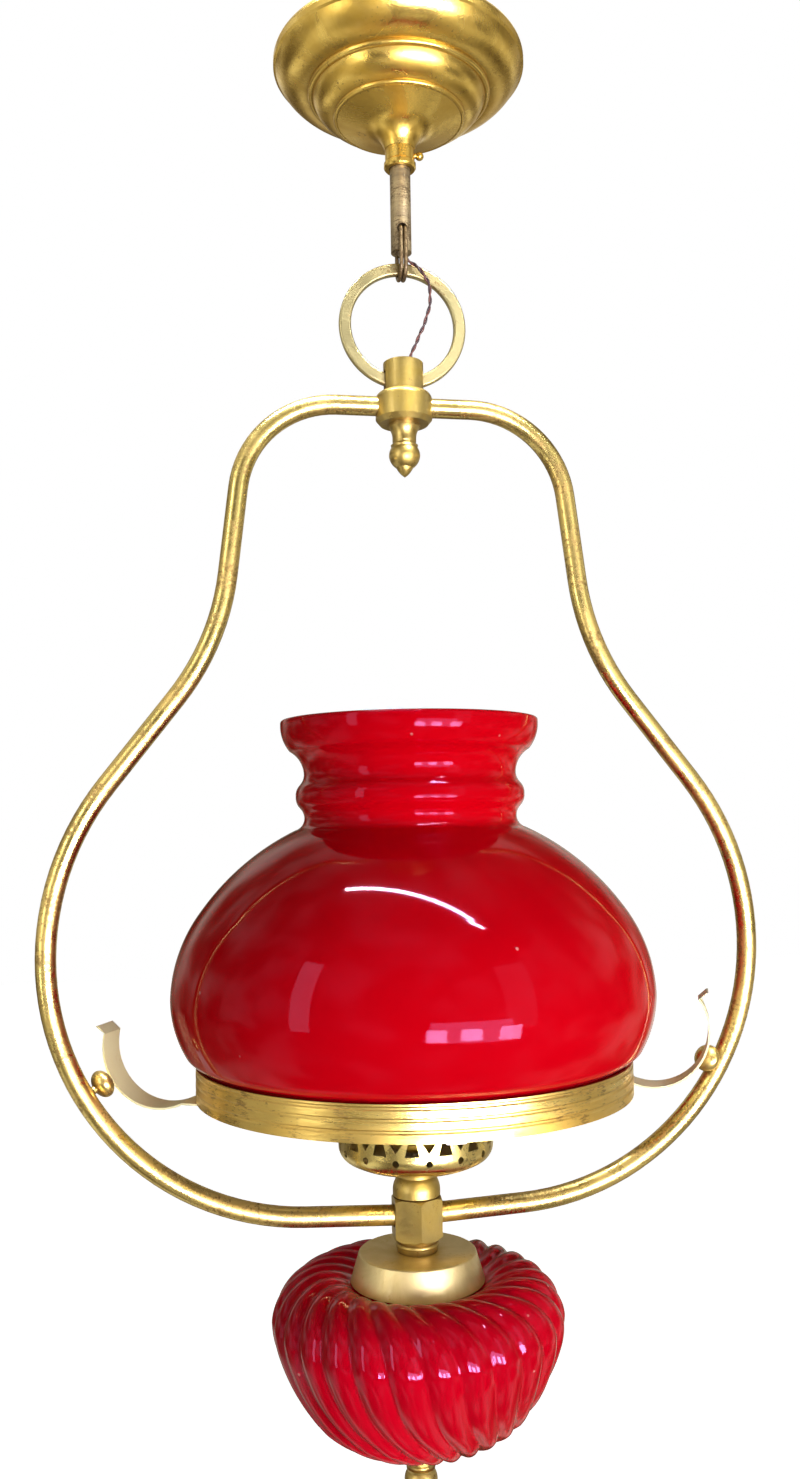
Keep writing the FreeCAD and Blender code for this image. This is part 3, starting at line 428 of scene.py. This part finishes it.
NODE_MATERIALS = {
    "canopy_brass": ["canopy_shell", "canopy_collar", "canopy_set_screw"],
    "tube_brass": ["harp_tube_left", "harp_tube_right", "arm_studs"],
    "stem_brass": ["stem_tube"],
    "ring_brass": ["hanging_ring"],
    "hub_brass": ["ring_collar", "top_hub", "drop_finial", "lower_hub", "bottom_finial"],
    "band_brass": ["shade_ring"],
    "gallery_brass": ["gallery"],
    "satin_brass": ["font_cap"],
    "spring_brass_painted_highlight": ["arm_rivets", "ring_arm_left", "ring_arm_right"],
    "link_brass": ["hook_link"],
    "thin_brass": ["holder_shell", "holder_screw_shell", "holder_contact", "bulb_cap"],
    "plated_steel": ["crossbar", "stem_nuts", "ring_spider", "hub_nipple", "nipple_nuts", "font_rod",
                     "bottom_washer"],
    "holder_ceramic": ["holder_insulator"],
    "lamp_glass": ["bulb_glass"],
    "gasket_fibre": ["cap_gasket"],
    "flex_brown": ["harp_wire"],
}


def dress_nodes(materials):
    """Gives every carried-over CAD node its material."""
    for finish, labels in NODE_MATERIALS.items():
        for label in labels:
            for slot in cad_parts[label].material_slots:
                slot.material = materials[finish]


# ---- mesh building --------------------------------------------------------------------------------------

def outline(corners, finest):
    """The points of an outline in millimetres. A corner is (radius, height), or (radius, height, bend)
    where an arc leads to it, positive where the line turns left and negative where it turns right."""
    points = [Vector(corners[0][:2])]
    for start, stop in zip(corners, corners[1:]):
        first, last = Vector(start[:2]), Vector(stop[:2])
        if len(stop) == 2:
            pieces = max(1, round((last - first).length / (6 * finest)))
            points += [first.lerp(last, step / pieces) for step in range(1, pieces + 1)]
            continue
        bend, chord = stop[2], last - first
        to_left = Vector((-chord.y, chord.x)).normalized()
        rise = math.sqrt(max(bend**2 - (chord.length / 2) ** 2, 0))
        centre = (first + last) / 2 + to_left * math.copysign(rise, bend)
        begin = math.atan2(first.y - centre.y, first.x - centre.x)
        sweep = math.copysign(2 * math.asin(min(1, chord.length / 2 / abs(bend))), bend)
        pieces = max(3, math.ceil(abs(sweep * bend) / finest))
        for step in range(1, pieces + 1):
            angle = begin + sweep * step / pieces
            points.append(centre + abs(bend) * Vector((math.cos(angle), math.sin(angle))))
    return points


def finish_mesh(name, mesh, body):
    mesh.shade_smooth()
    mesh.set_sharp_from_angle(angle=SHARP_ANGLE)
    piece = add_object(name, mesh)
    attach(piece, body)
    return piece


def turn(name, body, points, count, place=None):
    """Turns a closed outline about the Z axis. The place function may move a point by its own rule."""
    place = place or (lambda number, radius, height, angle: (radius, height, angle))
    made = bmesh.new()
    rings = []
    for number, (radius, height) in enumerate(points):
        ring = []
        for step in range(count):
            reach, up, angle = place(number, radius, height, 2 * math.pi * step / count)
            corner = (reach * math.cos(angle) * MM, reach * math.sin(angle) * MM, up * MM)
            ring.append(made.verts.new(corner))
        rings.append(ring)
    for ring, other in zip(rings, rings[1:] + rings[:1]):
        for step in range(count):
            after = (step + 1) % count
            made.faces.new([ring[step], ring[after], other[after], other[step]])
    bmesh.ops.recalc_face_normals(made, faces=made.faces)
    mesh = bpy.data.meshes.new(name)
    made.to_mesh(mesh)
    made.free()
    return finish_mesh(name, mesh, body)


# ---- shade ----------------------------------------------------------------------------------------------

SHADE_STEPS = 192
SHADE_HALF_WALL = 1.9
SHADE_MOUTH = (78.4, -1.6)
SHADE_FOOT = (125.4, -218.2)
LIP_RISE = 1.6
FOOT_DROP = 1.4
ROUNDING = [math.radians(step) for step in (30, 60, 90, 120, 150)]


def add_shade(materials):
    """The cased shade: a rolled mouth with a rounded lip, one bead round the neck, and a fitting edge."""
    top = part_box("shade_glass")[1][2] / MM
    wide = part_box("shade_glass")[1][0] / MM
    mouth_radius, mouth_height = SHADE_MOUTH
    foot_radius, foot_height = SHADE_FOOT
    outer = [
        SHADE_MOUTH, (mouth_radius, -4), (73.0, -18.5, -24), (64.4, -32, 17), (66.9, -39, 9),
        (69.4, -46, -9), (66.9, -53, -9), (64.4, -58, 9), (70.0, -66.3, 7.5),
        (wide - 18.1, -112.8, -148), (wide, -163, -88), (wide - 9, -195.6, -64),
        (126.4, -201.5, -20), (foot_radius, -204, 4), SHADE_FOOT,
    ]
    outside = outline(outer, 1.6)
    inside = [Vector((point.x - 2 * SHADE_HALF_WALL, point.y)) for point in reversed(outside)]
    lip = []
    foot = []
    for angle in ROUNDING:
        inward = SHADE_HALF_WALL * (1 + math.cos(angle))
        lip.append(Vector((mouth_radius - inward, mouth_height + LIP_RISE * math.sin(angle))))
        inward = SHADE_HALF_WALL * (1 - math.cos(angle))
        foot.append(Vector((foot_radius - inward, foot_height - FOOT_DROP * math.sin(angle))))
    points = [Vector((point.x, point.y + top)) for point in outside + foot + inside + lip]
    shade = turn("shade_red_glass", "shade", points, SHADE_STEPS)
    shade.data.materials.append(materials["shade_red"])
    shade.data.materials.append(materials["opal_casing"])
    inside_start = len(outside) + len(foot)
    for face in shade.data.polygons:
        across = Vector((face.center.x, face.center.y, 0)).normalized()
        inner = inside_start <= face.index // SHADE_STEPS < inside_start + len(inside) - 1
        face.material_index = 1 if inner and across.dot(face.normal) < 0.9 else 0
    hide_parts("shade_glass")


# ---- font -----------------------------------------------------------------------------------------------

RIBS = 27
STEPS_PER_RIB = 16
RIB_DEPTH = 3.4
RIB_START = -6.8
RIB_ROUNDNESS = 0.72
VALLEY_WIDTH = 0.012

# The ribs grow over the first stretch of the side, and fade over a longer one that stops short of its end.
RIB_GROWTH = 24
RIB_FADE = 50
RIB_STOP = 6

# The ribs begin where the shoulder leaves the cap's seat. Below the inner seat the wall leaves them room.
SHOULDER_RADIUS = 41
SHOULDER_HEIGHT = -10.3
INNER_SEAT_HEIGHT = -16


def rib_turn(walked):
    """How far a rib has turned round, in degrees, after so many millimetres down the side. It turns fast
    on the shoulder and under the belly, and slowly round the widest part."""
    slow, fast, reach, middle = 0.13, 0.42, 40, 75
    away = walked - middle
    near = max(-reach, min(reach, away))
    return slow * away + fast * (near**3 / (3 * reach**2) + (away - near))


def add_font(materials):
    """The pressed font: twisted ribs with round backs and narrow valleys, cut into the plain shape."""
    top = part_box("font_glass")[1][2] / MM
    outer = [
        (33, 0), (33, -7.7), (35.5, -10.2, 2.5), (40.5, -10.2), (86.5, -29.8, -28.4),
        (85.1, -39.8, -45.7), (63.2, -81.7, -116.6), (29.6, -98.7, -61.7), (24.6, -99.5), (4.6, -99.5),
    ]
    inner = [
        (4.6, -95), (23.6, -95), (28.9, -94.3), (59.9, -78.7, 57.2), (80.8, -38.6, 112.1),
        (82, -29.8, 41.2), (43.3, -13.7, 23.9), (31, -13.7), (29, -11.7), (29, 0),
    ]
    outside = outline(outer, 1.7)
    inside = []
    for point in outline(inner, 5):
        room = RIB_DEPTH * min(1, point.x / 60) if point.y < INNER_SEAT_HEIGHT else 0
        inside.append(Vector((point.x - room, point.y)))
    walked = 0
    distances = []
    for before, point in zip([outside[0]] + outside, outside):
        on_seat = point.y > SHOULDER_HEIGHT and point.x < SHOULDER_RADIUS
        walked = 0 if on_seat else walked + (point - before).length
        distances.append(walked)
    whole = distances[-1]

    def ribbed(number, radius, height, angle):
        if number >= len(outside) or distances[number] <= 0:
            return radius, height, angle
        along = distances[number]
        growing = min(1, along / RIB_GROWTH) ** 0.7
        fading = min(1, max(0, (whole - along - RIB_STOP) / RIB_FADE)) ** 0.8
        start = math.radians(RIB_START + rib_turn(along + 5) - 90)
        phase = (angle - start) * RIBS / (2 * math.pi)
        back = math.sqrt(math.sin(math.pi * phase) ** 2 + VALLEY_WIDTH) ** RIB_ROUNDNESS
        drop = RIB_DEPTH * growing * fading * (1 - min(1, back))
        before, after = outside[max(number - 1, 0)], outside[min(number + 1, len(outside) - 1)]
        way = (after - before).normalized()
        return radius + drop * way.y, height - drop * way.x, angle

    points = [Vector((point.x, point.y + top)) for point in outside + inside]
    font = turn("font_red_glass", "harp", points, RIBS * STEPS_PER_RIB, ribbed)
    font.data.materials.append(materials["font_red"])
    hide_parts("font_glass")


# ---- flex -----------------------------------------------------------------------------------------------

CORE_RADIUS = 0.62 * MM
CORE_OFFSET = 0.58 * MM
TWIST_PITCH = 13 * MM
CORE_SIDES = 10


def route_line(points, name):
    """The smooth line of a route, as points read from its curve."""
    data = bpy.data.curves.new(name, "CURVE")
    data.dimensions = "3D"
    data.resolution_u = 12
    spline = data.splines.new("NURBS")
    spline.points.add(len(points) - 1)
    for point, place in zip(spline.points, points):
        point.co = (*place, 1)
    spline.order_u = 3
    spline.use_endpoint_u = True
    holder = add_object(name, data)
    bpy.context.view_layer.update()
    line = bpy.data.meshes.new_from_object(holder)
    found = [vertex.co.copy() for vertex in line.vertices]
    bpy.data.objects.remove(holder)
    bpy.data.meshes.remove(line)
    bpy.data.curves.remove(data)
    return found


def add_flex(materials):
    """Two cores twisted round each other along the route."""
    line = route_line([Vector(point) * MM for point in FLEX_ROUTE], "flex_line")
    made = bmesh.new()
    side = Vector((1, 0, 0))
    for strand in range(2):
        walked = 0
        rings = []
        for number, place in enumerate(line):
            before, after = line[max(number - 1, 0)], line[min(number + 1, len(line) - 1)]
            walked += (place - before).length
            way = (after - before).normalized()
            side = (side - way * side.dot(way)).normalized()
            other = way.cross(side)
            angle = 2 * math.pi * walked / TWIST_PITCH + math.pi * strand
            centre = place + (side * math.cos(angle) + other * math.sin(angle)) * CORE_OFFSET
            ring = []
            for step in range(CORE_SIDES):
                turned = 2 * math.pi * step / CORE_SIDES
                rim = (side * math.cos(turned) + other * math.sin(turned)) * CORE_RADIUS
                ring.append(made.verts.new(centre + rim))
            rings.append(ring)
        for ring, following in zip(rings, rings[1:]):
            for step in range(CORE_SIDES):
                after = (step + 1) % CORE_SIDES
                face = made.faces.new([ring[step], ring[after], following[after], following[step]])
                face.material_index = strand
        for ring in (rings[0], rings[-1]):
            made.faces.new(ring).material_index = strand
    bmesh.ops.recalc_face_normals(made, faces=made.faces)
    mesh = bpy.data.meshes.new("twisted_flex")
    made.to_mesh(mesh)
    made.free()
    mesh.materials.append(materials["flex_brown"])
    mesh.materials.append(materials["flex_dark"])
    flex = finish_mesh("twisted_flex", mesh, "ring")
    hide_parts("twin_flex")


add_camera()
add_world()
add_lights()
add_floor()
materials = make_materials()
dress_nodes(materials)
add_shade(materials)
add_font(materials)
add_flex(materials)
bpy.context.scene.view_settings.view_transform = "Standard"
